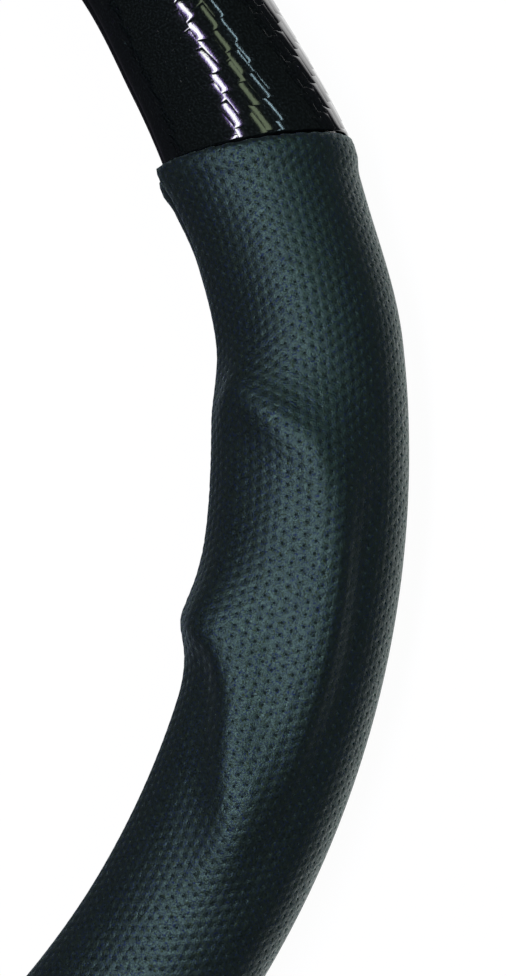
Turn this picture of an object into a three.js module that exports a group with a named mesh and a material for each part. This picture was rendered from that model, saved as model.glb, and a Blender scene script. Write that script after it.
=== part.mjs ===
// A slip-on steering wheel cover, 384 mm across, lying on its back.
// Millimetres, +Z up. The ring's axis is Z, +Y is the twelve o'clock end, and the cover lies on z = 0.
// A place on the ring is given by two angles: phi goes round the ring from +X towards +Y,
// and psi goes round the tube's section from the ring's outer side (0) over the front (90) to the slot (180).

import * as THREE from 'three';

// Driving dimensions, in millimetres and degrees.
const ringRadius = 171.7; // from the ring's axis to the middle of the tube's section
const coreRadius = 14.6; // of the rubber core's section
const coreWall = 2; // thickness of the rubber core
const slotAngle = 25; // half the angle that the core's slot takes out of the section
const seat = 0.3; // clearance between pieces that lie on each other
const flatAngle = 9; // the flat that the cover lies on reaches this far to both sides of the very back
const glossWall = 3; // foam-backed glossy vinyl, on the front and the back
const gripWall = 4; // foam-backed perforated leather, on the front and the back
const gripOffset = 1.4; // how much thicker the leather's foam is on the outer side than on the front
const hemWall = 1.6; // skin where it is turned in round the lips
const hemReturn = 5; // how far the turned hem reaches into the channel
const lipFade = 110; // a skin has thinned to its hem when it is turned this far round a lip
const lipTurns = { outer: [60, 120], inner: [90] }; // angles of the points round a lip
const coreStep = 5; // angle between the core's sections
const gripHalfAngle = 49.1; // half the angle that one leather grip covers
const seamLean = 8.6; // the seams lean by this angle away from square to the ring
const leanReach = 13; // angle over which the lean dies out
const plainStep = 5; // angle between the sections of a cover where it is plain
const slimStep = 2.5; // angle between the sections where a glossy cover gets slimmer
const restStep = 1.5; // angle between the sections where the palm rest is
const padSteps = 5; // steps of the core's section under the palm pad

// The leather's thickness changes from its plain value near the seams.
const waist = { middle: 38, reach: 5, depth: 1.25 }; // a narrow place on the slot side
const endSwell = { from: 43, to: 48.5, height: 1.8 }; // the slot side swells towards the seam
const endTaper = { from: 36, to: 46, depth: 1.9 }; // the outer side thins towards the seam
const hemBead = { from: 46.9, to: 48.1, height: 0.75 }; // the leather is folded double at the seam
const edgeRound = { reach: 0.25, drop: 0.6 }; // the fold's rounded edge, its angle and its depth
const slotSide = { from: 0, to: -5 / 6 }; // cosines of psi between which the slot side's changes grow
const outerSide = { from: -0.5, to: 1 }; // the same for the outer side's changes

// The glossy covers are thicker at the seams and get slimmer away from them, by the angle from the seam.
const glossOuter = { extra: 1.4, from: -3, to: 10, depth: 3.6 }; // on the outer side
const glossInner = { from: 7, to: 16, depth: 1.3 }; // on the slot side
const glossEdge = { reach: 0.2, drop: 0.5 }; // the rounded edge at a seam, its angle and its depth

// The palm rest: a leaf-shaped swelling with an upper and a lower ridge, given as [phi, psi] in degrees.
const upperRidge = [
  [31.8, 186], [31.8, 156], [32.9, 138], [33.4, 127], [32, 112], [30.9, 99], [29.7, 87], [27.8, 78],
  [25, 72.5], [21.8, 70], [18, 69], [14.2, 69.6], [10.4, 71.8], [6.7, 75], [0, 79.5], [-8, 84],
];
const lowerRidge = [
  [18, 186], [17.8, 151], [17.1, 129], [16.1, 119.5], [14.2, 111], [12.3, 106], [10.4, 101.5],
  [8.6, 96.5], [6.7, 91.5], [4.8, 88.5], [0, 86.5], [-8, 88],
];
const upperSlope = { plain: 6.5, wider: 6.5, from: 23, to: 31 }; // width of the slope outside the upper ridge
const lowerSlope = { plain: 8.5, wider: 8, from: 125, to: 150 }; // the same outside the lower ridge
// Heights are given as [psi, mm], and the lower ridge's as [phi, mm].
const restHeights = [
  [0, 1.7], [40, 2], [69, 2.2], [90, 1.75], [104, 2.1], [119, 2], [133, 1.9], [147, 1.5], [160, 1.2],
];
const upperCrests = [[0, 0.5], [74, 0.7], [84, 1.3], [104, 1.7], [118, 2], [132, 1.6], [150, 0.2], [160, 0]];
const lowerCrests = [[0, 1.6], [6, 2], [10, 2.4], [14, 1.5], [18, 1], [30, 1]];
const crestReach = { outside: 4.5, inside: 6 }; // how wide the crests are
const restCorner = { middle: 18.2, reach: 3.6, height: 3.2, from: 98, to: 133 }; // on the slot side
const cornerFade = { from: 133, to: 158, share: 0.6 }; // the corner gets lower towards the lip
const restTail = { rest: 20, crests: 9 }; // the rest and its crests fade out between these angles and 0
const palmPad = { top: 36, bottom: -1, outer: 45, lipInset: 3 }; // the pad's angles
const padRim = 0.4; // its thickness at the rim

const ringAxis = new THREE.Vector3(0, 0, 1);
const toRad = THREE.MathUtils.degToRad;
const smooth = (x) => THREE.MathUtils.smoothstep(x, 0, 1);
const lipAngle = 180 - slotAngle;

// A share that rises from 0 to 1 between two values, and one that falls from 1 on both sides of 0.
const rise = (x, { from, to }) => smooth((x - from) / (to - from));
const bell = (x) => Math.exp(-(x ** 2));

// The slope at a row of a table, from its neighbours. The curve is level at both ends.
function slopeAt(table, k) {
  if (k < 1 || k > table.length - 2) return 0;
  const [before, after] = [table[k - 1], table[k + 1]];
  return (after[1] - before[1]) / (after[0] - before[0]);
}

// A table of [x, y] pairs read at x, with a smooth curve through its rows.
function readTable(table, x) {
  const i = Math.max(table.findLastIndex((row, k) => row[0] <= x && k < table.length - 1), 0);
  const [[x0, y0], [x1, y1]] = [table[i], table[i + 1]];
  const t = THREE.MathUtils.clamp((x - x0) / (x1 - x0), 0, 1);
  const bend = (1 - t) * slopeAt(table, i) - t * slopeAt(table, i + 1);
  return THREE.MathUtils.lerp(y0, y1, smooth(t)) + t * (1 - t) * (x1 - x0) * bend;
}

// The skin laid flat, in millimetres, so that distances to a ridge can be measured.
const skinRadius = coreRadius + gripWall;
const flat = (phi, psi) => new THREE.Vector2(toRad(psi) * skinRadius, toRad(phi) * ringRadius);
const ridgeLine = (ridge) => new THREE.SplineCurve(ridge.map(([phi, psi]) => flat(phi, psi))).getPoints(60);
const upperLine = ridgeLine(upperRidge);
const lowerLine = ridgeLine(lowerRidge);

// Signed distance from a point to a line: positive on the line's left as it runs down the ring.
function distanceTo(line, point) {
  let nearest = Infinity;
  let side = 1;
  for (let i = 0; i + 1 < line.length; i += 1) {
    const along = line[i + 1].clone().sub(line[i]);
    const to = point.clone().sub(line[i]);
    const share = THREE.MathUtils.clamp(to.dot(along) / along.lengthSq(), 0, 1);
    const distance = to.distanceTo(along.clone().multiplyScalar(share));
    if (distance < nearest) {
      nearest = distance;
      side = Math.sign(along.cross(to)) || 1;
    }
  }
  return nearest * side;
}

// Height of the palm rest over the plain leather.
function restHeight(phi, psi) {
  if (psi <= 0) return 0;
  const upper = distanceTo(upperLine, flat(phi, psi));
  const lower = distanceTo(lowerLine, flat(phi, psi));
  const upperWidth = upperSlope.plain + upperSlope.wider * rise(phi, upperSlope);
  const lowerWidth = lowerSlope.plain + lowerSlope.wider * rise(psi, lowerSlope);
  const lowerReach = lower < 0 ? crestReach.inside : crestReach.outside;
  const fade = 1 - cornerFade.share * rise(psi, cornerFade);
  const corner = bell((phi - restCorner.middle) / restCorner.reach) * rise(psi, restCorner) * fade;
  const rest = readTable(restHeights, psi) * smooth(phi / restTail.rest) + restCorner.height * corner;
  const crests = readTable(upperCrests, psi) * bell(upper / crestReach.outside)
    + readTable(lowerCrests, phi) * bell(lower / lowerReach);
  const height = rest + crests * smooth(phi / restTail.crests);
  return height * smooth(1 + upper / upperWidth) * smooth(1 - lower / lowerWidth);
}

// Thickness of the plain leather with its foam, which is folded and narrowed near the seams.
function gripThickness(phi, psi) {
  const c = Math.cos(toRad(psi));
  const at = Math.abs(phi);
  const narrow = waist.depth * bell((at - waist.middle) / waist.reach);
  const slotward = (endSwell.height * rise(at, endSwell) - narrow) * rise(c, slotSide);
  const taper = endTaper.depth * rise(at, endTaper) * rise(c, outerSide);
  const bead = hemBead.height * rise(at, hemBead);
  const round = edgeRound.drop * smooth(1 - (gripHalfAngle - at) / edgeRound.reach);
  return gripWall + gripOffset * c + slotward - taper + bead - round;
}

// Thickness of a glossy cover, which changes with the angle from the nearest seam.
function glossThickness(phi, psi) {
  const c = Math.cos(toRad(psi));
  const past = Math.min(phi, 180 - phi) - gripHalfAngle;
  const outer = glossOuter.extra - glossOuter.depth * rise(past, glossOuter);
  const inner = glossInner.depth * rise(past, glossInner);
  const round = glossEdge.drop * smooth(1 - past / glossEdge.reach);
  return glossWall + outer * smooth(c) - inner * smooth(-c) - round;
}

// A point of the section at a distance from the rubber core's outer face.
const onCore = (psi, offset) => {
  const radius = coreRadius + offset;
  return { a: radius * Math.cos(toRad(psi)), b: radius * Math.sin(toRad(psi)), psi };
};

// Points round the core's lip, from its outer side (turn 0) to the channel (turn 180).
function roundLip(side, turns, outside, inside) {
  const psi = side * lipAngle;
  const middle = onCore(psi, -coreWall / 2);
  const out = new THREE.Vector2(Math.cos(toRad(psi)), Math.sin(toRad(psi)));
  const slotward = new THREE.Vector2(-out.y, out.x).multiplyScalar(side);
  return turns.map((turn) => {
    const reach = coreWall / 2 + THREE.MathUtils.lerp(outside, inside, smooth(turn / lipFade));
    return {
      a: middle.a + reach * (out.x * Math.cos(toRad(turn)) + slotward.x * Math.sin(toRad(turn))),
      b: middle.b + reach * (out.y * Math.cos(toRad(turn)) + slotward.y * Math.sin(toRad(turn))),
      psi,
    };
  });
}

// Evenly spaced values, with both ends.
function range(from, to, steps) {
  return Array.from({ length: steps + 1 }, (_, i) => from + ((to - from) * i) / steps);
}

// Section angles from the back lip to the front lip. Over the pad the leather has three for one of the core's.
// No point lies at the very back, so the part rests on a flat.
const padInner = lipAngle - palmPad.lipInset;
const plainAngles = [...range(-lipAngle, -90 - flatAngle, 2), ...range(-90 + flatAngle, palmPad.outer, 6)];
const padAngles = range(palmPad.outer, padInner, 3 * padSteps);
const coreAngles = [...plainAngles, ...range(palmPad.outer, padInner, padSteps).slice(1), lipAngle];
const leatherAngles = [...plainAngles, ...padAngles.slice(1), lipAngle];

// The hem's edge in the channel.
const hemAngle = lipAngle - THREE.MathUtils.radToDeg(hemReturn / (coreRadius - coreWall));

// The closed section of a skin: over the outside, round both lips and a little way into the channel.
function skinSection(angles, outer, inner) {
  const hemFace = -coreWall - seat;
  const lip = (side) => [
    ...roundLip(side, lipTurns.outer, outer(side * lipAngle), seat + hemWall),
    onCore(side * lipAngle, hemFace - hemWall),
    onCore(side * hemAngle, hemFace - hemWall),
    onCore(side * hemAngle, hemFace),
    onCore(side * lipAngle, hemFace),
    ...roundLip(side, lipTurns.inner, inner(side * lipAngle), seat),
  ];
  return [
    ...angles.map((psi) => onCore(psi, outer(psi))),
    ...lip(1),
    ...angles.toReversed().map((psi) => onCore(psi, inner(psi))),
    ...lip(-1).toReversed(),
  ];
}

// Sections joined one to the next into a closed solid, with flat ends unless the ring closes on itself.
function solidOf(sections, closed = false) {
  const size = sections[0].points.length;
  const points = sections.flatMap(({ points: loop }) => loop);
  const index = [];
  const spans = closed ? sections.length : sections.length - 1;
  for (let i = 0; i < spans; i += 1) {
    const here = i * size;
    const next = ((i + 1) % sections.length) * size;
    for (let j = 0; j < size; j += 1) {
      const k = (j + 1) % size;
      index.push(here + j, here + k, next + k, here + j, next + k, next + j);
    }
  }
  if (!closed) {
    const ends = [[0, [0, 2, 1]], [sections.length - 1, [0, 1, 2]]];
    for (const [end, order] of ends) {
      const outline = sections[end].outline.map(({ a, b }) => new THREE.Vector2(a, b));
      for (const face of THREE.ShapeUtils.triangulateShape(outline, [])) {
        index.push(...order.map((corner) => end * size + face[corner]));
      }
    }
  }
  const geometry = new THREE.BufferGeometry().setFromPoints(points);
  geometry.setIndex(facingOut(points, index));
  geometry.computeVertexNormals();
  return geometry;
}

// The triangles turned round if they enclose a negative volume.
function facingOut(points, index) {
  let volume = 0;
  for (let i = 0; i < index.length; i += 3) {
    const [p, q, r] = [points[index[i]], points[index[i + 1]], points[index[i + 2]]];
    volume += p.dot(q.clone().cross(r));
  }
  return volume < 0 ? index.toReversed() : index;
}

// Depth of the flat that the leather is pressed to where the part lies on it.
const flatEdge = -90 + flatAngle;
const restDepth = -onCore(flatEdge, seat + gripThickness(0, -90 - flatAngle)).b;

// A point of a section on the ring at angle phi, moved along the ring by the section's lean.
function onRing({ a, b }, phi, lean = 0) {
  const point = new THREE.Vector3(ringRadius + a, -a * Math.tan(toRad(lean)), Math.max(restDepth + b, 0));
  return point.applyAxisAngle(ringAxis, toRad(phi));
}

// A section stood on the ring at angle phi. Near a seam it leans with the seam.
function placeSection(outline, phi) {
  const quarter = phi > 90 ? 180 - phi : phi;
  const share = smooth(1 - Math.abs(Math.abs(quarter) - gripHalfAngle) / leanReach);
  const lean = Math.sign(phi > 90 ? phi - 180 : phi) * share * seamLean;
  return { outline, points: outline.map((point) => onRing(point, phi, lean)) };
}

// The rubber core: one C-shaped ring, whose sections don't lean.
function coreGeometry() {
  const channelAngles = [lipAngle, ...range(hemAngle, -hemAngle, 8), -lipAngle];
  const outline = [
    ...coreAngles.map((psi) => onCore(psi, 0)),
    ...roundLip(1, lipTurns.inner, 0, 0),
    ...channelAngles.map((psi) => onCore(psi, -coreWall)),
    ...roundLip(-1, lipTurns.inner, 0, 0),
  ];
  const angles = range(0, 360, Math.round(360 / coreStep)).slice(0, -1);
  const sections = angles.map((phi) => ({ outline, points: outline.map((point) => onRing(point, phi)) }));
  return solidOf(sections, true);
}

// Angles of the leather's sections over the palm pad, and over the whole grip with its folded ends.
const padPhis = range(palmPad.bottom, palmPad.top, Math.round((palmPad.top - palmPad.bottom) / restStep));

function gripPhis() {
  const fold = [hemBead.from, hemBead.to, gripHalfAngle - edgeRound.reach, gripHalfAngle];
  const belowSpans = Math.ceil((hemBead.from + palmPad.bottom) / plainStep);
  const aboveSpans = Math.ceil((hemBead.from - palmPad.top) / plainStep);
  return [
    ...fold.toReversed().map((phi) => -phi),
    ...range(-hemBead.from, palmPad.bottom, belowSpans).slice(1, -1),
    ...padPhis,
    ...range(palmPad.top, hemBead.from, aboveSpans).slice(1, -1),
    ...fold,
  ];
}

// How far the leather's inner face is lifted off its seat. Over the pad it clears the pad's rim too.
function leatherLift(phi, psi) {
  const height = restHeight(phi, psi);
  return padPhis.includes(phi) && padAngles.includes(psi) ? Math.max(height, padRim + seat) : height;
}

// The perforated leather grip, with its thin foam backing.
function gripGeometry() {
  return solidOf(gripPhis().map((phi) => {
    const outer = (psi) => seat + gripThickness(phi, psi) + restHeight(phi, psi);
    const inner = (psi) => seat + leatherLift(phi, psi);
    return placeSection(skinSection(leatherAngles, outer, inner), phi);
  }));
}

// The foam palm pad, which fills the room between the core and the lifted leather.
// Its sections run the other way round the ring, so that its facets match those of the leather's inner face.
function padGeometry() {
  return solidOf(padPhis.toReversed().map((phi) => {
    const top = padAngles.map((psi) => onCore(psi, leatherLift(phi, psi)));
    const bottom = padAngles.toReversed().map((psi) => onCore(psi, seat));
    return placeSection([...top, ...bottom], phi);
  }));
}

// Angles of a glossy cover's sections, from one grip's seam to the other's.
function glossPhis() {
  const from = gripHalfAngle + THREE.MathUtils.radToDeg(seat / ringRadius);
  const slim = gripHalfAngle + glossInner.to;
  const half = [
    ...range(from, slim, Math.round(glossInner.to / slimStep)),
    ...range(slim, 90, Math.round((90 - slim) / plainStep)).slice(1),
  ];
  half.splice(1, 0, from + glossEdge.reach);
  return [...half, ...half.slice(0, -1).toReversed().map((phi) => 180 - phi)];
}

// A glossy cover. It is made about +Y and turned for the bottom.
function glossGeometry() {
  return solidOf(glossPhis().map((phi) => {
    const outer = (psi) => seat + glossThickness(phi, psi);
    return placeSection(skinSection(coreAngles, outer, () => seat), phi);
  }));
}

// The same solid on the other side of the ring's upright middle plane.
function mirrored(geometry) {
  const copy = geometry.clone().scale(-1, 1, 1);
  copy.setIndex([...copy.getIndex().array].reverse());
  copy.computeVertexNormals();
  return copy;
}

const rubber = new THREE.MeshStandardMaterial({ color: 0x1a1b1c, roughness: 0.8, metalness: 0 });
const gloss = new THREE.MeshStandardMaterial({ color: 0x111314, roughness: 0.12, metalness: 0 });
const leather = new THREE.MeshStandardMaterial({ color: 0x2b3235, roughness: 0.55, metalness: 0 });
const foam = new THREE.MeshStandardMaterial({ color: 0x3a3d3f, roughness: 0.95, metalness: 0 });

const cover = new THREE.Group();

function add(name, geometry, material) {
  const mesh = new THREE.Mesh(geometry, material);
  mesh.name = name;
  cover.add(mesh);
  return mesh;
}

add('core_ring', coreGeometry(), rubber);
const grip = gripGeometry();
add('grip_cover_right', grip, leather);
add('grip_cover_left', mirrored(grip), leather);
const pad = padGeometry();
add('palm_pad_right', pad, foam);
add('palm_pad_left', mirrored(pad), foam);
const glossArc = glossGeometry();
add('gloss_cover_top', glossArc, gloss);
add('gloss_cover_bottom', glossArc, gloss).rotation.z = Math.PI;

export default cover;
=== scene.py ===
import bpy, bmesh
import math
import numpy as np
from mathutils import Matrix, Vector


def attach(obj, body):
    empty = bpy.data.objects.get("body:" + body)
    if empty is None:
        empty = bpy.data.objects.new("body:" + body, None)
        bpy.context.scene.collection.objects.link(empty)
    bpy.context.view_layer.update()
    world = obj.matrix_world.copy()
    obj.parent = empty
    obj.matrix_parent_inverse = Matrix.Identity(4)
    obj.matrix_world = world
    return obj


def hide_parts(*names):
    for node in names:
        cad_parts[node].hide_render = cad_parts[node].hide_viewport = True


# A slip-on steering wheel cover that lies on its back.
# Metres and degrees. phi goes round the ring from +X towards +Y, and psi goes round the tube's
# section from the ring's outer side (0) over the front (90) to the slot (180).

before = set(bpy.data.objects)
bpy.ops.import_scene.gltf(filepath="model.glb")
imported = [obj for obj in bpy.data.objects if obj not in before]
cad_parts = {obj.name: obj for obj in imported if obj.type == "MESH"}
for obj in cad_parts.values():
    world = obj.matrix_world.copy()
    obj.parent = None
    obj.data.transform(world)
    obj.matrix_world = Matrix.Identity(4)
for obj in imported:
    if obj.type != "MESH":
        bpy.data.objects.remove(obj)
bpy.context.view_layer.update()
print("frame loaded")

ring = dict(
    radius=0.1717,        # ring's axis to the middle of the tube's section
    coreRadius=0.0146,    # of the rubber core's section
    coreWall=0.002,
    slotAngle=25.0,       # half the angle that the slot takes out of the section
    seat=0.0003,          # clearance between pieces that lie on each other
    flatAngle=9.0,        # the flat on the back reaches this far to both sides
)

grip = dict(
    halfAngle=49.1,
    wall=0.004, offset=0.0014,                # leather with its foam, and what the outer side adds
    waist=(38.0, 5.0, 0.00125),               # middle, reach and depth of the narrow place
    swell=(43.0, 48.5, 0.0018),               # from, to and height of the swelling slot side
    taper=(36.0, 46.0, 0.0019),               # from, to and depth of the thinning outer side
    bead=(46.9, 48.1, 0.00075),               # from, to and height of the doubled edge
    slotSide=(0.0, -5 / 6), outerSide=(-0.5, 1.0),    # cosines of psi where these sides begin and are full
    lean=8.6, leanReach=13.0,                 # slant of the seams
    foldRadius=0.0008, foldDepth=0.0024, foldSteps=6,    # the turned edge at a seam
    leather=0.0012,                           # thickness of the leather alone
    sheetTurn=74.0, lipSteps=8,               # how far the leather reaches round the lip
    hemWall=0.0016, hemReturn=0.005, lipFade=110.0,
    rowStep=0.45, columnStep=1.4,             # angles of the smooth surface under the holes
    plainAngle=-30.0,                         # the sheet's width is measured here
)

palmRest = dict(
    # ridges as (phi, psi) in degrees, heights as (psi, millimetres)
    upperRidge=[(31.8, 186), (31.8, 156), (32.9, 138), (33.4, 127), (32, 112), (30.9, 99), (29.7, 87),
                (27.8, 78), (25, 72.5), (21.8, 70), (18, 69), (14.2, 69.6), (10.4, 71.8), (6.7, 75),
                (0, 79.5), (-8, 84)],
    lowerRidge=[(18, 186), (17.8, 151), (17.1, 129), (16.1, 119.5), (14.2, 111), (12.3, 106),
                (10.4, 101.5), (8.6, 96.5), (6.7, 91.5), (4.8, 88.5), (0, 86.5), (-8, 88)],
    upperSlope=(0.0065, 0.0065, 23, 31),      # plain width, extra width, from and to
    lowerSlope=(0.0085, 0.008, 125, 150),
    heights=[(0, 1.7), (40, 2), (69, 2.2), (90, 1.75), (104, 2.1), (119, 2), (133, 1.9), (147, 1.5),
             (160, 1.2)],
    upperCrests=[(0, 0.5), (74, 0.7), (84, 1.3), (104, 1.7), (118, 2), (132, 1.6), (150, 0.2), (160, 0)],
    lowerCrests=[(0, 1.6), (6, 2), (10, 2.4), (14, 1.5), (18, 1), (30, 1)],    # (phi, millimetres)
    crestReach=(0.0045, 0.006),               # outside and inside the rest
    corner=(18.2, 3.6, 0.0032, 98, 133),      # middle, reach, height, from and to
    cornerFade=(133, 158, 0.6),               # from, to and share that it loses
    tail=20, crestTail=9,                     # the rest and its crests fade out between these angles and 0
)

perforation = dict(
    alongPitch=0.0022, acrossPitch=0.00178,   # from hole to hole along a row, and from row to row
    width=0.00046, depth=0.0003,
    waver=0.0008, waverScale=500.0,           # how unevenly the holes are punched
    leftAlong=1.0, leftAcross=0.34,           # pitches left out at the sheet's edges
    welding=0.02,                             # points this share of a pitch apart become one
)


def rad(degrees):
    return np.radians(degrees)


def smooth(x):
    x = np.clip(x, 0, 1)
    return x * x * (3 - 2 * x)


def eased(x, start, end):
    return smooth((x - start) / (end - start))


def bell(x):
    return np.exp(-(x**2))


def lengths(points):
    # how far along the line each of its points lies
    return np.concatenate([[0], np.cumsum(np.linalg.norm(np.diff(points, axis=0), axis=1))])


lipAngle = 180 - ring["slotAngle"]
hemAngle = lipAngle - math.degrees(grip["hemReturn"] / (ring["coreRadius"] - ring["coreWall"]))

# A turned-in edge: how far it stands off a lip, and its back and face from the core's outer face
hemReach = ring["seat"] + grip["hemWall"]
channelSeat = -ring["coreWall"] - ring["seat"]
hemFace = channelSeat - grip["hemWall"]


def onCore(psi, offset):
    # points of the section at a distance from the core's outer face
    r = ring["coreRadius"] + offset
    return np.stack([r * np.cos(rad(psi)), r * np.sin(rad(psi))], -1)


# The skin laid flat, in metres, so that distances to a ridge can be measured
skinRadius = ring["coreRadius"] + grip["wall"]


def flatPlace(phi, psi):
    return np.stack(np.broadcast_arrays(rad(psi) * skinRadius, rad(phi) * ring["radius"]), -1)


def ridgeLine(points, count=80):
    # a smooth curve through the ridge's points
    p = np.array([flatPlace(a, b) for a, b in points])
    t = np.linspace(0, len(p) - 1, count)
    i = np.minimum(t.astype(int), len(p) - 2)
    w = (t - i)[:, None]
    p0, p1, p2, p3 = p[np.maximum(i - 1, 0)], p[i], p[i + 1], p[np.minimum(i + 2, len(p) - 1)]
    v0, v1 = (p2 - p0) / 2, (p3 - p1) / 2
    return (2 * p1 - 2 * p2 + v0 + v1) * w**3 + (-3 * p1 + 3 * p2 - 2 * v0 - v1) * w**2 + v0 * w + p1


def distanceTo(line, place):
    # signed distance, positive on the line's left as it runs down the ring
    best = np.full(place.shape[:-1], 1e9)
    side = np.ones(place.shape[:-1])
    for a, b in zip(line[:-1], line[1:]):
        along, to = b - a, place - a
        share = np.clip((to @ along) / (along @ along), 0, 1)
        d = np.linalg.norm(to - share[..., None] * along, axis=-1)
        cross = along[0] * to[..., 1] - along[1] * to[..., 0]
        side = np.where(d < best, np.where(cross < 0, -1.0, 1.0), side)
        best = np.minimum(best, d)
    return best * side


upperLine = ridgeLine(palmRest["upperRidge"])
lowerLine = ridgeLine(palmRest["lowerRidge"])


def readTable(table, x):
    # a smooth curve through the table's rows, in metres
    at, value = np.array(table, float).T
    slope = np.zeros_like(at)
    slope[1:-1] = (value[2:] - value[:-2]) / (at[2:] - at[:-2])
    i = np.clip(np.searchsorted(at, x, side="right") - 1, 0, len(at) - 2)
    span = at[i + 1] - at[i]
    t = np.clip((x - at[i]) / span, 0, 1)
    straight = value[i] + (value[i + 1] - value[i]) * smooth(t)
    return (straight + t * (1 - t) * span * ((1 - t) * slope[i] - t * slope[i + 1])) / 1000


def restHeight(phi, psi):
    place = flatPlace(phi, psi)
    upper, lower = distanceTo(upperLine, place), distanceTo(lowerLine, place)
    plain, wider, start, end = palmRest["upperSlope"]
    upperWidth = plain + wider * eased(phi, start, end)
    plain, wider, start, end = palmRest["lowerSlope"]
    lowerWidth = plain + wider * eased(psi, start, end)
    middle, reach, height, start, end = palmRest["corner"]
    corner = height * bell((phi - middle) / reach) * eased(psi, start, end)
    start, end, share = palmRest["cornerFade"]
    corner = corner * (1 - share * eased(psi, start, end))
    rest = readTable(palmRest["heights"], psi) * smooth(phi / palmRest["tail"]) + corner
    outside, within = palmRest["crestReach"]
    lowerReach = np.where(lower < 0, within, outside)
    crests = readTable(palmRest["upperCrests"], psi) * bell(upper / outside)
    crests = crests + readTable(palmRest["lowerCrests"], phi) * bell(lower / lowerReach)
    tall = rest + crests * smooth(phi / palmRest["crestTail"])
    return np.where(psi > 0, tall * smooth(1 + upper / upperWidth) * smooth(1 - lower / lowerWidth), 0)


def gripThickness(phi, psi):
    c, at = np.cos(rad(psi)), np.abs(phi)
    middle, reach, depth = grip["waist"]
    start, end, height = grip["swell"]
    slotward = height * eased(at, start, end) - depth * bell((at - middle) / reach)
    start, end, depth = grip["taper"]
    taper = depth * eased(at, start, end) * eased(c, *grip["outerSide"])
    start, end, height = grip["bead"]
    bead = height * eased(at, start, end)
    return grip["wall"] + grip["offset"] * c + slotward * eased(c, *grip["slotSide"]) - taper + bead


# Depth of the flat that the leather is pressed to where the cover lies on it
flatWall = ring["seat"] + gripThickness(0, -90 - ring["flatAngle"])
restDepth = -onCore(-90 + ring["flatAngle"], flatWall)[1]


def lipTurn(side, turn, outside, inside):
    # points round the core's lip, from its outer side (turn 0) to the channel (turn 180)
    psi = side * lipAngle
    out = np.array([math.cos(rad(psi)), math.sin(rad(psi))])
    slotward = np.array([-out[1], out[0]]) * side
    middle = onCore(psi, -ring["coreWall"] / 2)
    reach = ring["coreWall"] / 2 + outside + (inside - outside) * smooth(turn / grip["lipFade"])
    away = out * np.cos(rad(turn))[..., None] + slotward * np.sin(rad(turn))[..., None]
    return middle + reach[..., None] * away


def seamLean(phi):
    at = phi if phi <= 90 else phi - 180
    share = smooth(1 - abs(abs(at) - grip["halfAngle"]) / grip["leanReach"])
    return math.copysign(share * grip["lean"], at)


def standOnRing(section, phi):
    # a section's points at the angle phi; near a seam they lean with it
    radius = ring["radius"] + section[..., 0]
    slide = -section[..., 0] * math.tan(math.radians(seamLean(phi)))
    c, s = math.cos(math.radians(phi)), math.sin(math.radians(phi))
    height = np.maximum(restDepth + section[..., 1], 0)
    return np.stack([radius * c - slide * s, radius * s + slide * c, height], -1)


def outerLine(phi, columns, depth=0.0, lift=True):
    # the leather's outer surface at phi, from the back lip over the front to the front lip
    def offset(psi):
        rest = restHeight(phi, psi) if lift else 0
        return ring["seat"] + gripThickness(phi, psi) + rest - depth
    hem = hemReach - depth
    turns = np.linspace(grip["sheetTurn"], 0, grip["lipSteps"] + 1)[:-1]
    back = lipTurn(-1, turns, offset(np.full_like(turns, -lipAngle)), hem)
    front = lipTurn(1, turns[::-1], offset(np.full_like(turns, lipAngle)), hem)
    return np.concatenate([back, onCore(columns, offset(columns)), front])


def meshObject(name, points, faces, edges=()):
    mesh = bpy.data.meshes.new(name)
    mesh.from_pydata([tuple(p) for p in points], edges, faces)
    mesh.polygons.foreach_set("use_smooth", [True] * len(mesh.polygons))
    piece = bpy.data.objects.new(name, mesh)
    bpy.context.scene.collection.objects.link(piece)
    return piece


def gridFaces(rows, columns, wrapRows=False, wrapColumns=False):
    i = np.arange(rows if wrapRows else rows - 1)[:, None]
    j = np.arange(columns if wrapColumns else columns - 1)[None, :]
    a = i * columns + j
    b = i * columns + (j + 1) % columns
    c = ((i + 1) % rows) * columns + (j + 1) % columns
    d = ((i + 1) % rows) * columns + j
    return np.stack([a, d, c, b], -1).reshape(-1, 4).tolist()


def loftedPiece(name, sections, closedRing=False):
    # closed sections joined into one closed body, with outward faces
    rows, columns = sections.shape[:2]
    faces = gridFaces(rows, columns, wrapRows=closedRing, wrapColumns=True)
    if not closedRing:
        faces += [list(range(columns)), [(rows - 1) * columns + k for k in reversed(range(columns))]]
    piece = meshObject(name, sections.reshape(-1, 3), faces)
    faceOut(piece)
    return piece


def faceOut(piece):
    bm = bmesh.new()
    bm.from_mesh(piece.data)
    bmesh.ops.recalc_face_normals(bm, faces=bm.faces)
    bm.to_mesh(piece.data)
    bm.free()


def setVectors(piece, name, vectors):
    attribute = piece.data.attributes.new(name, "FLOAT_VECTOR", "POINT")
    attribute.data.foreach_set("vector", np.ascontiguousarray(vectors, dtype=np.float32).ravel())


def mirroredCopy(piece, name):
    copy = piece.copy()
    copy.data = piece.data.copy()
    copy.name = copy.data.name = name
    copy.data.transform(Matrix.Scale(-1, 4, (1, 0, 0)))
    copy.data.flip_normals()
    bpy.context.scene.collection.objects.link(copy)
    return copy


# Node writing: a wrapped socket takes part in sums, and one method makes any other node


def operator(operation, flipped=False):
    return lambda self, other: self.calc(operation, other, flipped)


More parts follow.
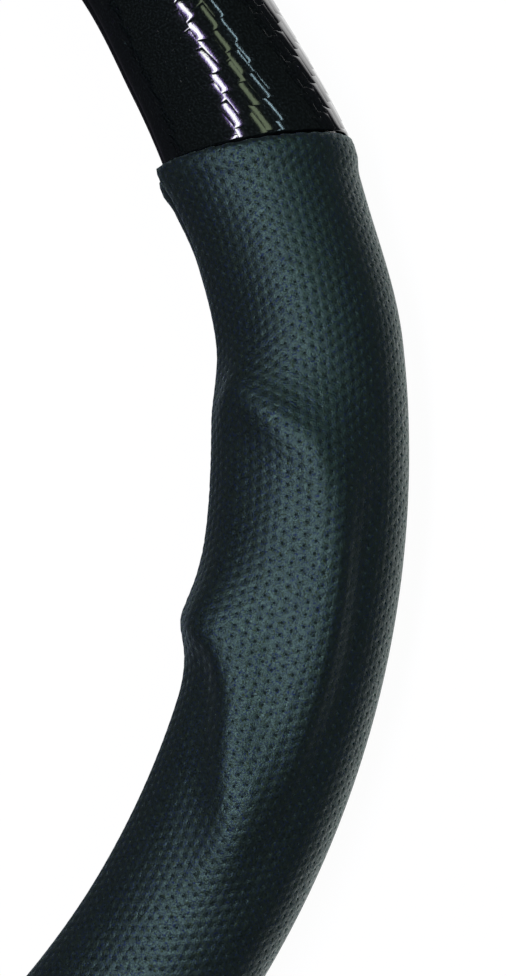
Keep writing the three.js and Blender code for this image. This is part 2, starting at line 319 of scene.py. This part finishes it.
class Wire:
    def __init__(self, tree, socket):
        self.tree, self.socket = tree, socket

    def calc(self, operation, other=0.0, flipped=False):
        node = self.tree.nodes.new("ShaderNodeMath")
        node.operation = operation
        for slot, value in zip(node.inputs, (other, self) if flipped else (self, other)):
            if isinstance(value, Wire):
                self.tree.links.new(value.socket, slot)
            else:
                slot.default_value = value
        return Wire(self.tree, node.outputs[0])

    def clamped(self):
        return self.calc("MINIMUM", 1.0).calc("MAXIMUM", 0.0)

    __add__ = operator("ADD")
    __radd__ = operator("ADD", True)
    __sub__ = operator("SUBTRACT")
    __rsub__ = operator("SUBTRACT", True)
    __mul__ = operator("MULTIPLY")
    __rmul__ = operator("MULTIPLY", True)
    __truediv__ = operator("DIVIDE")
    __pow__ = operator("POWER")
    __mod__ = operator("FLOORED_MODULO")


class NodeBoard:
    def __init__(self, tree):
        self.tree = tree

    def make(self, kind, settings=None, **values):
        node = self.tree.nodes.new(kind)
        for name, value in (settings or {}).items():
            setattr(node, name, value)
        for name, value in values.items():
            slot = node.inputs[int(name[1:])] if name[0] == "_" else node.inputs[name.replace("_", " ")]
            if isinstance(value, Wire):
                self.tree.links.new(value.socket, slot)
            else:
                slot.default_value = value
        return node

    def wire(self, kind, settings=None, out=0, **values):
        return Wire(self.tree, self.make(kind, settings, **values).outputs[out])

    def parts(self, vector):
        node = self.make("ShaderNodeSeparateXYZ", Vector=vector)
        return [Wire(self.tree, output) for output in node.outputs]

    def noise(self, place, scale, detail, roughness):
        return self.wire("ShaderNodeTexNoise", Vector=place, Scale=scale, Detail=detail, Roughness=roughness)


def newMaterial(name, **shine):
    material = bpy.data.materials.new(name)
    material.use_nodes = True
    tree = material.node_tree
    shader = tree.nodes["Principled BSDF"]
    for socket, value in shine.items():
        shader.inputs[socket.replace("_", " ")].default_value = value
    return material, NodeBoard(tree), shader


def connect(board, shader, **wires):
    for socket, wire in wires.items():
        board.tree.links.new(wire.socket, shader.inputs[socket.replace("_", " ")])


def mixColour(board, factor, first, second):
    # each colour is a wire or three numbers
    first, second = (end if isinstance(end, Wire) else (*end, 1) for end in (first, second))
    return board.wire("ShaderNodeMix", {"data_type": "RGBA"}, out=2, _0=factor, _6=first, _7=second)


leatherLook = dict(
    # the third colour here is painted shade: near black, given to the pit walls where the holes' insides
    # would lie in shade
    dark=(0.001, 0.0014, 0.0013), pale=(0.011, 0.0155, 0.013), holeShade=(0.001, 0.0015, 0.0015),
    paleStart=0.3, paleGain=2.5,              # fine noise above the start turns pale
    blueFleck=(0.02, 0.035, 0.11), oliveFleck=(0.04, 0.06, 0.022),
    fleckStart=0.54, fleckGain=9.0, toneStart=0.46, toneGain=12.0,
    roughness=0.5, mottled=0.16, grained=1.0, inHoles=0.3,    # the last three are how much it varies
    tint=(0.58, 1.0, 0.87, 1), specular=0.74,
    sheen=0.12, sheenRoughness=0.42, sheenTint=(0.72, 1.0, 0.88, 1),
    # scale, detail and roughness of the noises
    mottle=(160.0, 4.0, 0.6), fine=(2900.0, 2.0, 0.6), grain=(1000.0, 3.0, 0.62), tone=(1700.0, 1.0, 0.5),
    creaseScale=1000.0,
    depth=0.00018, strength=0.7, grainShare=0.6, creaseShare=0.5, fineShare=1.0,    # the relief
)


def leatherMaterial():
    look = leatherLook
    material, board, shader = newMaterial(
        "perforatedLeather", Roughness=look["roughness"], Specular_IOR_Level=look["specular"],
        Specular_Tint=look["tint"], Sheen_Weight=look["sheen"], Sheen_Roughness=look["sheenRoughness"],
        Sheen_Tint=look["sheenTint"])
    place = board.wire("ShaderNodeTexCoord", out=3)
    mottle, fine = board.noise(place, *look["mottle"]), board.noise(place, *look["fine"])
    grain, tone = board.noise(place, *look["grain"]), board.noise(place, *look["tone"])
    creases = board.wire(
        "ShaderNodeTexVoronoi", {"feature": "DISTANCE_TO_EDGE"}, Vector=place, Scale=look["creaseScale"])
    pit = board.wire("ShaderNodeAttribute", {"attribute_name": "pit"}, out=2)
    skin = mixColour(board, (fine - look["paleStart"]) * look["paleGain"], look["dark"], look["pale"])
    # flecks shine in their own colour where the light strikes them
    toneShare = (tone - look["toneStart"]) * look["toneGain"]
    fleckColour = mixColour(board, toneShare, look["oliveFleck"], look["blueFleck"])
    fleck = ((fine - look["fleckStart"]) * look["fleckGain"]).clamped() * (1.0 - pit)
    # the pit walls take the third colour, painted shade for the holes' insides
    colour = mixColour(board, pit, mixColour(board, fleck, skin, fleckColour), look["holeShade"])
    roughness = look["roughness"] + (mottle - 0.5) * look["mottled"] + (fine - 0.5) * look["grained"]
    roughness = roughness + pit * look["inHoles"]
    height = grain * look["grainShare"] + creases * look["creaseShare"] + fine * look["fineShare"]
    bump = board.wire("ShaderNodeBump", Height=height, Strength=look["strength"], Distance=look["depth"])
    connect(board, shader, Base_Color=colour, Roughness=roughness, Metallic=fleck, Normal=bump)
    return material


glossLook = dict(
    base=(0.0018, 0.0027, 0.0024), fibre=(0.012, 0.0175, 0.016), fibreStart=0.47, fibreGain=5.0,
    towLength=0.0048, towWidth=0.0026, stagger=0.29, wander=0.6,    # the woven bundles under the vinyl
    relief=0.00005, crown=0.3, twist=1.1, edge=9.0, poreShare=0.16,
    roughness=0.085, speckled=0.1, specular=0.5,
    # scale, detail and roughness of the noises
    drift=(150.0, 1.0, 0.5), pores=(1900.0, 3.0, 0.6), specks=(2300.0, 3.0, 0.7),
)


def glossMaterial():
    look = glossLook
    material, board, shader = newMaterial("carbonLookVinyl", Specular_IOR_Level=look["specular"])
    place = board.wire("ShaderNodeAttribute", {"attribute_name": "surfacePlace"}, out=1)
    drift, pores, specks = (board.noise(place, *look[name]) for name in ("drift", "pores", "specks"))
    sway = (drift - 0.5) * look["wander"]
    alongArc, acrossArc = board.parts(place)[:2]
    row = acrossArc / look["towWidth"] + sway
    phase = alongArc / look["towLength"] + row.calc("FLOOR") * look["stagger"] + sway
    along = (phase % 1.0) * 2.0 - 1.0
    across = (row % 1.0) * 2.0 - 1.0
    end = along.calc("ABSOLUTE") ** look["edge"]
    bundle = (1.0 - end) * (1.0 - across * across * look["crown"]) + along * across * look["twist"]
    colour = mixColour(board, (specks - look["fibreStart"]) * look["fibreGain"], look["base"], look["fibre"])
    roughness = look["roughness"] + (specks - 0.5) * look["speckled"]
    height = bundle + pores * look["poreShare"]
    bump = board.wire("ShaderNodeBump", Height=height, Strength=1.0, Distance=look["relief"])
    connect(board, shader, Base_Color=colour, Roughness=roughness, Normal=bump)
    return material


plainLooks = dict(
    # dark and pale colour, roughness, scale and depth of the grain
    coreRubber=((0.008, 0.008, 0.0085), (0.016, 0.016, 0.017), 0.7, 1400.0, 0.00006),
    padFoam=((0.04, 0.042, 0.045), (0.07, 0.072, 0.076), 0.95, 2600.0, 0.0002),
    hemBinding=((0.006, 0.008, 0.009), (0.012, 0.016, 0.018), 0.5, 1500.0, 0.00012),
    hemThread=((0.012, 0.014, 0.016), (0.024, 0.027, 0.03), 0.6, 6000.0, 0.00004),
)
plainGrain = dict(detail=4.0, roughness=0.5, strength=0.6)


def plainMaterial(name):
    dark, pale, roughness, scale, depth = plainLooks[name]
    material, board, shader = newMaterial(name, Roughness=roughness)
    place = board.wire("ShaderNodeTexCoord", out=3)
    grain = board.noise(place, scale, plainGrain["detail"], plainGrain["roughness"])
    bump = board.wire("ShaderNodeBump", Height=grain, Strength=plainGrain["strength"], Distance=depth)
    connect(board, shader, Base_Color=mixColour(board, grain, dark, pale), Normal=bump)
    return material


leather = leatherMaterial()
gloss = glossMaterial()
rubber, foam, binding, thread = (plainMaterial(name) for name in plainLooks)
print("materials made")


def finished(piece, material, slot, *nodes):
    piece.data.materials.clear()
    piece.data.materials.append(material)
    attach(piece, "root")
    if nodes:
        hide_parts(*nodes)


# Camera: the photograph's frame is 507 by 976, and the ring's middle lies far to its left
view = dict(
    ringRoll=30.0,                 # the ring's angle that points to the picture's right
    aim=(0.1624, -0.0072, 0.018),  # picture right, picture up and height of the picture's middle
    distance=0.45, tilt=3.5,       # the camera stands a little below the square view
    pixelsPerMetre=5255.0, width=507, height=976, sensor=24.0,
)


def pictureAxes():
    a = math.radians(view["ringRoll"])
    return Vector((math.cos(a), math.sin(a), 0)), Vector((-math.sin(a), math.cos(a), 0))


def standing(across, over, back, place):
    # the place of a camera or lamp that looks against back
    return Matrix((
        (across.x, over.x, back.x, place.x), (across.y, over.y, back.y, place.y),
        (across.z, over.z, back.z, place.z), (0, 0, 0, 1)))


def makeCamera():
    right, up = pictureAxes()
    x, y, z = view["aim"]
    aim = right * x + up * y + Vector((0, 0, z))
    tilt = math.radians(view["tilt"])
    back = Vector((0, 0, 1)) * math.cos(tilt) - up * math.sin(tilt)
    place = aim + back * view["distance"]
    lens = bpy.data.cameras.new("photoCamera")
    lens.sensor_fit = "VERTICAL"
    lens.sensor_height = view["sensor"]
    lens.lens = view["sensor"] * view["pixelsPerMetre"] * view["distance"] / view["height"]
    camera = bpy.data.objects.new("photoCamera", lens)
    camera.matrix_world = standing(right, back.cross(right), back, place)
    bpy.context.scene.collection.objects.link(camera)
    bpy.context.scene.camera = camera
    return aim


lamps = dict(
    # turn from the square view in degrees, shift up the picture, width, length, height above the aim,
    # radiance and colour
    main=(-13, 0.0, 0.05, 0.42, 0.62, 32.0, (0.97, 1.0, 0.93)),
    fringe=(-13, 0.0, 0.086, 0.42, 0.62, 12.0, (0.42, 0.22, 1.0)),
    second=(13, 0.2, 0.07, 0.42, 0.62, 3.4, (0.8, 1.0, 0.62)),
    thin=(32, 0.36, 0.018, 0.4, 0.62, 16.0, (0.6, 0.88, 1.0)),
)
surroundings = dict(
    strength=0.06, colour=(0.8, 0.95, 0.95),  # the even light from all sides
    floor=(0.03, 0.032, 0.031), floorRoughness=0.9, floorReach=3.0,
    seenFloor=0.97,                           # what the floor adds to its own colour for the camera
    glow=1.5,                                 # and for reflections, near the cover's outer side
    near=(0.186, 0.19, 0.216, 0.226),         # where it glows: distances from the ring's axis
)


def makeLights(aim):
    right, up = pictureAxes()
    for name, (side, shift, width, length, height, radiance, colour) in lamps.items():
        light = bpy.data.lights.new(name, "AREA")
        light.shape = "RECTANGLE"
        light.size, light.size_y = width, length
        light.color = colour
        light.energy = radiance * width * length * math.pi
        lamp = bpy.data.objects.new(name, light)
        tilt = math.radians(side)
        back = Vector((0, 0, 1)) * math.cos(tilt) + right * math.sin(tilt)
        lamp.matrix_world = standing(up.cross(back), up, back, aim + back * height + up * shift)
        bpy.context.scene.collection.objects.link(lamp)


def makeSurroundings():
    world = bpy.data.worlds.new("softStudio")
    bpy.context.scene.world = world
    world.use_nodes = True
    background = world.node_tree.nodes["Background"]
    background.inputs["Color"].default_value = (*surroundings["colour"], 1)
    background.inputs["Strength"].default_value = surroundings["strength"]
    r = surroundings["floorReach"]
    floor = meshObject("floor", [(-r, -r, 0), (r, -r, 0), (r, r, 0), (-r, r, 0)], [(0, 1, 2, 3)])
    material, board, shader = newMaterial(
        "paleFloor", Roughness=surroundings["floorRoughness"], Base_Color=(*surroundings["floor"], 1))
    place = board.wire("ShaderNodeTexCoord", out=3)
    distance = board.wire("ShaderNodeVectorMath", {"operation": "LENGTH"}, out=1, _0=place)
    start, full, fading, end = surroundings["near"]
    near = ((distance - start) / (full - start)).calc("MINIMUM", (end - distance) / (end - fading))
    glow = near.clamped() * surroundings["glow"]
    path = board.make("ShaderNodeLightPath")
    camera, glossy = (Wire(board.tree, path.outputs[k]) for k in ("Is Camera Ray", "Is Glossy Ray"))
    shader.inputs["Emission Strength"].default_value = 1.0
    light = camera * surroundings["seenFloor"] + glossy * glow
    connect(board, shader, Emission_Color=light)
    floor.data.materials.append(material)


makeLights(makeCamera())
makeSurroundings()
bpy.context.scene.view_settings.view_transform = "Standard"
print("camera and lights set")


# The leather: a smooth base surface, whose faces a node tree turns into perforated sheet


def foldRows(end):
    # rows round the turned edge at a seam: angle and depth below the surface
    radius, depth = grip["foldRadius"], grip["foldDepth"]
    turns = np.radians(np.linspace(0, 90, grip["foldSteps"] + 1))[1:]
    angle = np.degrees(radius / ring["radius"])
    phis = [end * (grip["halfAngle"] - angle * (1 - math.sin(t))) for t in turns]
    rounded = [(phi, radius * (1 - math.cos(t))) for phi, t in zip(phis, turns)]
    return rounded + [(end * grip["halfAngle"], depth)]


def sheetRows():
    plainEnd = grip["halfAngle"] - np.degrees(grip["foldRadius"] / ring["radius"])
    count = int(round(2 * plainEnd / grip["rowStep"]))
    plain = [(phi, 0.0) for phi in np.linspace(-plainEnd, plainEnd, count)]
    return foldRows(-1)[::-1] + plain + foldRows(1)


def gridColumns(step):
    return np.linspace(-lipAngle, lipAngle, int(round(2 * lipAngle / step)))


def baseSurface():
    rows, columns = sheetRows(), gridColumns(grip["columnStep"])
    points = np.array([standOnRing(outerLine(phi, columns, depth), phi) for phi, depth in rows])
    across = lengths(outerLine(grip["plainAngle"], columns, lift=False))
    along = lengths(np.array([(rad(phi) * ring["radius"], depth) for phi, depth in rows]))
    normal = np.cross(np.gradient(points, along, axis=0), np.gradient(points, across, axis=1))
    normal /= np.linalg.norm(normal, axis=-1, keepdims=True)
    base = meshObject("leatherBase", points.reshape(-1, 3), gridFaces(*points.shape[:2]))
    setVectors(base, "outward", normal)
    layout = base.data.uv_layers.new(name="sheet")
    a, b = np.meshgrid(along / along[-1], across / across[-1], indexing="ij")
    spots = np.stack([a, b], -1).reshape(-1, 2)
    corners = np.zeros(len(base.data.loops), dtype=np.int32)
    base.data.loops.foreach_get("vertex_index", corners)
    layout.data.foreach_set("uv", spots[corners].astype(np.float32).ravel())
    return base, along[-1], across[-1]


class TreeBoard(NodeBoard):
    # geometry trees join and extrude too
    def join(self, *parts):
        node = self.tree.nodes.new("GeometryNodeJoinGeometry")
        for part in parts:
            self.tree.links.new(part.socket, node.inputs[0])
        return Wire(self.tree, node.outputs[0])

    def extrude(self, mesh, distance, individual, **values):
        up = self.wire("ShaderNodeCombineXYZ", X=0.0, Y=0.0, Z=1.0)
        node = self.make("GeometryNodeExtrudeMesh", {"mode": "FACES"}, Mesh=mesh, Offset=up,
                         Offset_Scale=distance, Individual=individual, **values)
        return [Wire(self.tree, node.outputs[name]) for name in ("Mesh", "Top", "Side")]


def newTree(name, numbers):
    tree = bpy.data.node_groups.new(name, "GeometryNodeTree")
    tree.interface.new_socket("Geometry", in_out="INPUT", socket_type="NodeSocketGeometry")
    for label in numbers:
        tree.interface.new_socket(label, in_out="INPUT", socket_type="NodeSocketFloat")
    tree.interface.new_socket("Geometry", in_out="OUTPUT", socket_type="NodeSocketGeometry")
    entry = tree.nodes.new("NodeGroupInput")
    return TreeBoard(tree), {s.name: Wire(tree, s) for s in entry.outputs if s.name}


def endTree(board, geometry, material):
    real = board.wire("GeometryNodeRealizeInstances", Geometry=geometry)
    dressed = board.wire("GeometryNodeSetMaterial", Geometry=real, Material=material)
    leave = board.tree.nodes.new("NodeGroupOutput")
    board.tree.links.new(dressed.socket, leave.inputs[0])
    return board.tree


def cellSheet(board, given):
    # a flat sheet of six-sided cells, one round each hole, in staggered rows
    along, across = given["Along pitch"], given["Across pitch"]
    length, width = given["Sheet length"], given["Sheet width"]
    columns = (length / along - perforation["leftAlong"]).calc("FLOOR")
    rows = (width / across - perforation["leftAcross"]).calc("FLOOR")
    grid = board.wire("GeometryNodeMeshGrid", Size_X=along * (columns - 1), Size_Y=across * (rows - 1),
                      Vertices_X=columns, Vertices_Y=rows)
    place = board.wire("GeometryNodeInputPosition")
    y = board.parts(place)[1]
    odd = (y / across + (rows - 1) * 0.5 + 0.5).calc("FLOOR") % 2.0
    shift = board.wire("ShaderNodeCombineXYZ", X=(odd - 0.5) * along * 0.5, Y=0.0, Z=0.0)
    points = board.wire("GeometryNodeSetPosition", Geometry=grid, Offset=shift)
    cell = board.wire("GeometryNodeMeshCircle", {"fill_type": "NGON"}, Vertices=6, Radius=1.0)
    turned = board.wire("GeometryNodeTransform", Geometry=cell, Rotation=(0, 0, math.radians(90)))
    cellSize = board.wire("ShaderNodeCombineXYZ", X=along * (0.5 / math.cos(math.radians(30))),
                          Y=across * (2 / 3), Z=1.0)
    fitted = board.wire("GeometryNodeTransform", Geometry=turned, Scale=cellSize)
    placed = board.wire("GeometryNodeInstanceOnPoints", Points=points, Instance=fitted)
    cells = board.wire("GeometryNodeRealizeInstances", Geometry=placed)
    even = board.wire("GeometryNodeMergeByDistance", Geometry=cells, Distance=along * perforation["welding"])
    # a little uneven, but not along the edges
    free = (0.5 - (y / width).calc("ABSOLUTE")) * width / across - 1.0
    share = free.clamped() * given["Waver"]
    noise = board.wire("ShaderNodeTexNoise", out=1, Vector=place, Scale=perforation["waverScale"], Detail=1.0)
    driftX, driftY = board.parts(noise)[:2]
    waver = board.wire("ShaderNodeCombineXYZ", X=(driftX - 0.5) * share, Y=(driftY - 0.5) * share, Z=0.0)
    return board.wire("GeometryNodeSetPosition", Geometry=even, Offset=waver)


def punched(board, given, sheet):
    # the sheet gets its thickness, then each upper face is drawn in and sunk to a pit
    mesh, top = board.extrude(sheet, given["Thickness"], False)[:2]
    underside = board.wire("GeometryNodeFlipFaces", Mesh=sheet)
    mesh, rim = board.extrude(mesh, 0.0, True, Selection=top)[:2]
    drawnIn = board.wire("GeometryNodeScaleElements", {"domain": "FACE"}, Geometry=mesh, Selection=rim,
                         Scale=given["Hole width"] / given["Along pitch"])
    mesh, bottom, walls = board.extrude(drawnIn, given["Hole depth"] * -1.0, True, Selection=rim)
    pointed = board.wire("GeometryNodeScaleElements", {"domain": "FACE"}, Geometry=mesh, Selection=bottom,
                         Scale=0.0)
    marked = board.wire("GeometryNodeStoreNamedAttribute", {"data_type": "FLOAT", "domain": "FACE"},
                        Geometry=pointed, Name="pit", Value=walls)
    welding = given["Along pitch"] * (perforation["welding"] / 2)
    return board.wire("GeometryNodeMergeByDistance", Geometry=board.join(marked, underside), Distance=welding)


def laidOnBase(board, given, sheet):
    # the flat sheet's length and width follow the base surface's map, its height the outward direction
    x, y, z = board.parts(board.wire("GeometryNodeInputPosition"))
    spot = board.wire("ShaderNodeCombineXYZ", X=x / given["Sheet length"] + 0.5,
                      Y=y / given["Sheet width"] + 0.5, Z=0.0)
    vectors = {"data_type": "FLOAT_VECTOR"}
    layout = board.wire("GeometryNodeInputNamedAttribute", vectors, Name="sheet")

    def sampled(value):
        return board.wire("GeometryNodeSampleUVSurface", vectors, Mesh=given["Geometry"], Value=value,
                          Source_UV_Map=layout, Sample_UV=spot)
    place = sampled(board.wire("GeometryNodeInputPosition"))
    outward = sampled(board.wire("GeometryNodeInputNamedAttribute", vectors, Name="outward"))
    height = z - given["Thickness"]
    lift = board.wire("ShaderNodeVectorMath", {"operation": "SCALE"}, _0=outward, Scale=height)
    return board.wire("GeometryNodeSetPosition", Geometry=sheet, Position=place, Offset=lift)


def perforationTree(material):
    board, given = newTree("perforatedSheet", [
        "Sheet length", "Sheet width", "Along pitch", "Across pitch", "Hole width", "Hole depth", "Thickness",
        "Waver"])
    laid = laidOnBase(board, given, punched(board, given, cellSheet(board, given)))
    return endTree(board, board.wire("GeometryNodeSetShadeSmooth", Geometry=laid), material)


def applyTree(piece, tree, name, **values):
    modifier = piece.modifiers.new("nodes", "NODES")
    modifier.node_group = tree
    for item in tree.interface.items_tree:
        key = item.name.replace(" ", "_")
        if item.in_out == "INPUT" and key in values:
            modifier[item.identifier] = values[key]
    piece.update_tag()
    evaluated = piece.evaluated_get(bpy.context.evaluated_depsgraph_get())
    mesh = bpy.data.meshes.new_from_object(evaluated)
    mesh.name = name
    result = bpy.data.objects.new(name, mesh)
    bpy.context.scene.collection.objects.link(result)
    bpy.data.objects.remove(piece)
    return result


def makeLeather():
    base, length, width = baseSurface()
    tree = perforationTree(leather)
    sheet = applyTree(base, tree, "grip_leather_right", Sheet_length=length, Sheet_width=width,
                      Along_pitch=perforation["alongPitch"], Across_pitch=perforation["acrossPitch"],
                      Hole_width=perforation["width"], Hole_depth=perforation["depth"],
                      Waver=perforation["waver"], Thickness=grip["leather"])
    pits = np.zeros(len(sheet.data.polygons), dtype=np.float32)
    sheet.data.attributes["pit"].data.foreach_get("value", pits)
    sheet.data.polygons.foreach_set("use_smooth", pits < 0.5)
    print("leather sheet:", len(sheet.data.polygons), "faces")
    return sheet


def onBothSides(piece, material, slot, node):
    # a piece of the right grip with its mirrored copy on the left
    twin = mirroredCopy(piece, piece.name.replace("right", "left"))
    for one, place in ((piece, "right"), (twin, "left")):
        finished(one, material, slot, node + place)


onBothSides(makeLeather(), leather, "perforated_leather", "grip_cover_")
print("leather grips made")


# Glossy arcs

glossArc = dict(
    wall=0.003,
    outer=(0.0014, -3.0, 10.0, 0.0036),       # extra at the seam, then from, to and depth of the slimming
    inner=(7.0, 16.0, 0.0013),                # the same on the slot side, without extra
    rowStep=0.45, columnStep=3.0, lipSteps=8, hemSteps=4,
    bevel=0.0005, bevelTurns=(0, 22, 45, 68, 90), joint=0.0003,
)


def glossThickness(phi, psi):
    c = np.cos(rad(psi))
    past = min(phi, 180 - phi) - grip["halfAngle"]
    extra, start, end, depth = glossArc["outer"]
    outer = extra - depth * eased(past, start, end)
    start, end, depth = glossArc["inner"]
    return glossArc["wall"] + outer * smooth(c) - depth * eased(past, start, end) * smooth(-c)


def skinLoop(columns, outer, seat):
    # the closed section of a skin: outside, round both lips, into the channel and back along the seat
    def lip(side):
        edge = np.array([side * lipAngle])
        turns = np.linspace(0, 180, glossArc["lipSteps"] + 2)[1:-1]
        back = np.linspace(lipAngle, hemAngle, glossArc["hemSteps"]) * side
        return np.concatenate([
            lipTurn(side, turns, outer(edge), hemReach), onCore(back, hemFace),
            onCore(back[::-1], channelSeat), lipTurn(side, turns[::-1], seat, seat)])
    return np.concatenate([
        onCore(columns, outer(columns)), lip(1), onCore(columns[::-1], seat), lip(-1)[::-1]])


def glossRows():
    # angle and depth below the surface, with rounded ends
    start = grip["halfAngle"] + math.degrees(glossArc["joint"] / ring["radius"])
    count = int(round((180 - 2 * start) / glossArc["rowStep"]))
    bevel = glossArc["bevel"]
    reach = math.degrees(bevel / ring["radius"])
    turns = np.radians(glossArc["bevelTurns"])
    edge = [(reach * (1 - math.cos(t)), bevel * (1 - math.sin(t))) for t in turns]
    first = [(start + angle, drop) for angle, drop in edge]
    last = [(180 - start - angle, drop) for angle, drop in reversed(edge)]
    return first + [(phi, 0.0) for phi in np.linspace(start, 180 - start, count)][1:-1] + last


def makeGloss(name, node, turn):
    columns = gridColumns(glossArc["columnStep"])
    seat = ring["seat"]
    sections, places = [], []
    for phi, drop in glossRows():
        loop = skinLoop(columns, lambda psi: seat + glossThickness(phi, psi) - drop, seat)
        across = lengths(loop)
        along = np.full_like(across, math.radians(phi) * ring["radius"])
        sections.append(standOnRing(loop, phi))
        places.append(np.stack([along, across, across * 0], -1))
    piece = loftedPiece(name, np.array(sections))
    setVectors(piece, "surfacePlace", np.array(places).reshape(-1, 3))
    piece.data.transform(Matrix.Rotation(math.radians(turn), 4, "Z"))
    finished(piece, gloss, "carbon_look_vinyl", node)


makeGloss("gloss_arc_top", "gloss_cover_top", 0)
makeGloss("gloss_arc_bottom", "gloss_cover_bottom", 180)
print("glossy arcs made")

# What lies under the covers: the ribbed core, the foam under the leather, the palm pads and the hems

inside = dict(
    coreRows=200, coreOuter=80, coreChannel=190, lipSteps=9,
    ribs=26, ribHeight=0.00025,                   # fine ribs along the channel
    ribMargin=7.0, ribFade=6.0,                   # and how they end before the hems
    foamRow=0.8, foamColumn=3.0, foamEnd=0.35,    # angles of the foam's grid, and what it leaves at the seams
    padBox=(-1.0, 36.0, 45.0, 152.0),             # the palm pad's first and last phi, first and last psi
    padLeast=0.0007,                              # how far the pad's rim lifts the foam off the core
    hemStart=75.5, hemProud=0.0002, hemRow=1.0, hemEnd=0.1, hemTurns=14, hemSteps=4,
)
stitch = dict(turn=112.0, spacing=0.0036, length=0.0026, width=0.0006, end=0.8, pathRows=200, fineness=3)


def turnedSection(section, phi):
    # a section stood on the ring without a seam's lean
    radius = ring["radius"] + section[..., 0]
    height = np.maximum(restDepth + section[..., 1], 0)
    return np.stack([radius * np.cos(rad(phi)), radius * np.sin(rad(phi)), height], -1)


def ribHeight(psi):
    wave = 0.5 - 0.5 * np.cos(rad(psi) * inside["ribs"] * 360 / (2 * lipAngle))
    clear = hemAngle - inside["ribMargin"] - np.abs(psi)
    return inside["ribHeight"] * wave * smooth(clear / inside["ribFade"])


def makeCore():
    outer = np.linspace(-lipAngle, lipAngle, inside["coreOuter"])
    channel = np.linspace(lipAngle, -lipAngle, inside["coreChannel"])
    turns = np.linspace(0, 180, inside["lipSteps"] + 2)[1:-1]
    loop = np.concatenate([
        onCore(outer, 0.0), lipTurn(1, turns, 0.0, 0.0),
        onCore(channel, -ring["coreWall"] - ribHeight(channel)), lipTurn(-1, turns[::-1], 0.0, 0.0)])
    rows = np.linspace(0, 360, inside["coreRows"], endpoint=False)
    core = loftedPiece("ribbed_core", np.array([turnedSection(loop, phi) for phi in rows]), closedRing=True)
    finished(core, rubber, "core_rubber", "core_ring")


def padLift(phi, psi):
    # how far the foam is lifted off its seat, which clears the palm pad's rim too
    low, high, outer, inner = inside["padBox"]
    height = restHeight(phi, psi)
    over = (phi >= low) & (phi <= high) & (psi >= outer) & (psi <= inner)
    return np.where(over, np.maximum(height, inside["padLeast"]), height)


def makeFoam():
    end = grip["halfAngle"] - inside["foamEnd"]
    columns = gridColumns(inside["foamColumn"])
    sections = []
    for phi in np.linspace(-end, end, int(round(2 * end / inside["foamRow"]))):
        skin = gripThickness(phi, columns) + restHeight(phi, columns) - grip["leather"]
        under = padLift(phi, columns[::-1])
        top = onCore(columns, ring["seat"] + skin)
        bottom = onCore(columns[::-1], ring["seat"] + under)
        sections.append(standOnRing(np.concatenate([top, bottom]), phi))
    return loftedPiece("grip_foam_right", np.array(sections))


def makePalmPad():
    low, high, outer, inner = inside["padBox"]
    columns = np.linspace(outer, inner, int(round((inner - outer) / inside["foamColumn"])) * 2)
    sections = []
    for phi in np.linspace(low, high, int(round((high - low) / inside["foamRow"]))):
        top = np.maximum(restHeight(phi, columns), inside["padLeast"])
        loop = np.concatenate([onCore(columns, top), onCore(columns[::-1], ring["seat"])])
        sections.append(standOnRing(loop, phi))
    return loftedPiece("palm_foam_right", np.array(sections))


def hemOutside(phi, side):
    # how far the hem stands off the core at a lip
    edge = np.array([side * lipAngle])
    return ring["seat"] + gripThickness(phi, edge) + restHeight(phi, edge) + inside["hemProud"]


def hemLoop(phi, side):
    # the strip that binds the leather's edge round a lip and into the channel
    turns = np.linspace(inside["hemStart"], 180, inside["hemTurns"])
    psi = np.linspace(lipAngle, hemAngle, inside["hemSteps"] + 1)[1:] * side
    return np.concatenate([
        lipTurn(side, turns, hemOutside(phi, side), hemReach), onCore(psi, hemFace),
        onCore(psi[::-1], channelSeat), lipTurn(side, turns[::-1], ring["seat"], ring["seat"])])


def makeHem(side, label):
    end = grip["halfAngle"] - inside["hemEnd"]
    rows = np.linspace(-end, end, int(round(2 * grip["halfAngle"] / inside["hemRow"])))
    return loftedPiece("grip_hem_" + label, np.array([standOnRing(hemLoop(phi, side), phi) for phi in rows]))


def stitchTree(material):
    board, given = newTree("stitchRow", ["Spacing", "Stitch length", "Stitch width"])
    path = board.wire("GeometryNodeMeshToCurve", Mesh=given["Geometry"])
    spots = board.make("GeometryNodeCurveToPoints", {"mode": "LENGTH"}, Curve=path, Length=given["Spacing"])
    points, turns = (Wire(board.tree, spots.outputs[name]) for name in ("Points", "Rotation"))
    bead = board.wire("GeometryNodeMeshIcoSphere", Radius=0.5, Subdivisions=stitch["fineness"])
    girth = given["Stitch width"]
    size = board.wire("ShaderNodeCombineXYZ", X=girth, Y=girth, Z=given["Stitch length"])
    stitches = board.wire("GeometryNodeInstanceOnPoints", Points=points, Instance=bead, Rotation=turns,
                          Scale=size)
    return endTree(board, board.wire("GeometryNodeSetShadeSmooth", Geometry=stitches), material)


def makeStitches(side, label, tree):
    end = grip["halfAngle"] - stitch["end"]
    turn = np.array([stitch["turn"]])
    points = []
    for phi in np.linspace(-end, end, stitch["pathRows"]):
        spot = lipTurn(side, turn, hemOutside(phi, side), hemReach)
        points.append(standOnRing(spot, phi)[0])
    path = meshObject("stitchPath", points, [], [(k, k + 1) for k in range(len(points) - 1)])
    return applyTree(path, tree, "hem_stitches_" + label, Spacing=stitch["spacing"],
                     Stitch_length=stitch["length"], Stitch_width=stitch["width"])


makeCore()
onBothSides(makeFoam(), foam, "pad_foam", "grip_cover_")
onBothSides(makePalmPad(), foam, "pad_foam", "palm_pad_")
stitchRow = stitchTree(thread)
for side, label in ((1, "front_right"), (-1, "back_right")):
    onBothSides(makeHem(side, label), binding, "perforated_leather", "grip_cover_")
    onBothSides(makeStitches(side, label, stitchRow), thread, "perforated_leather", "grip_cover_")
print("core, foam, hems and stitches made")
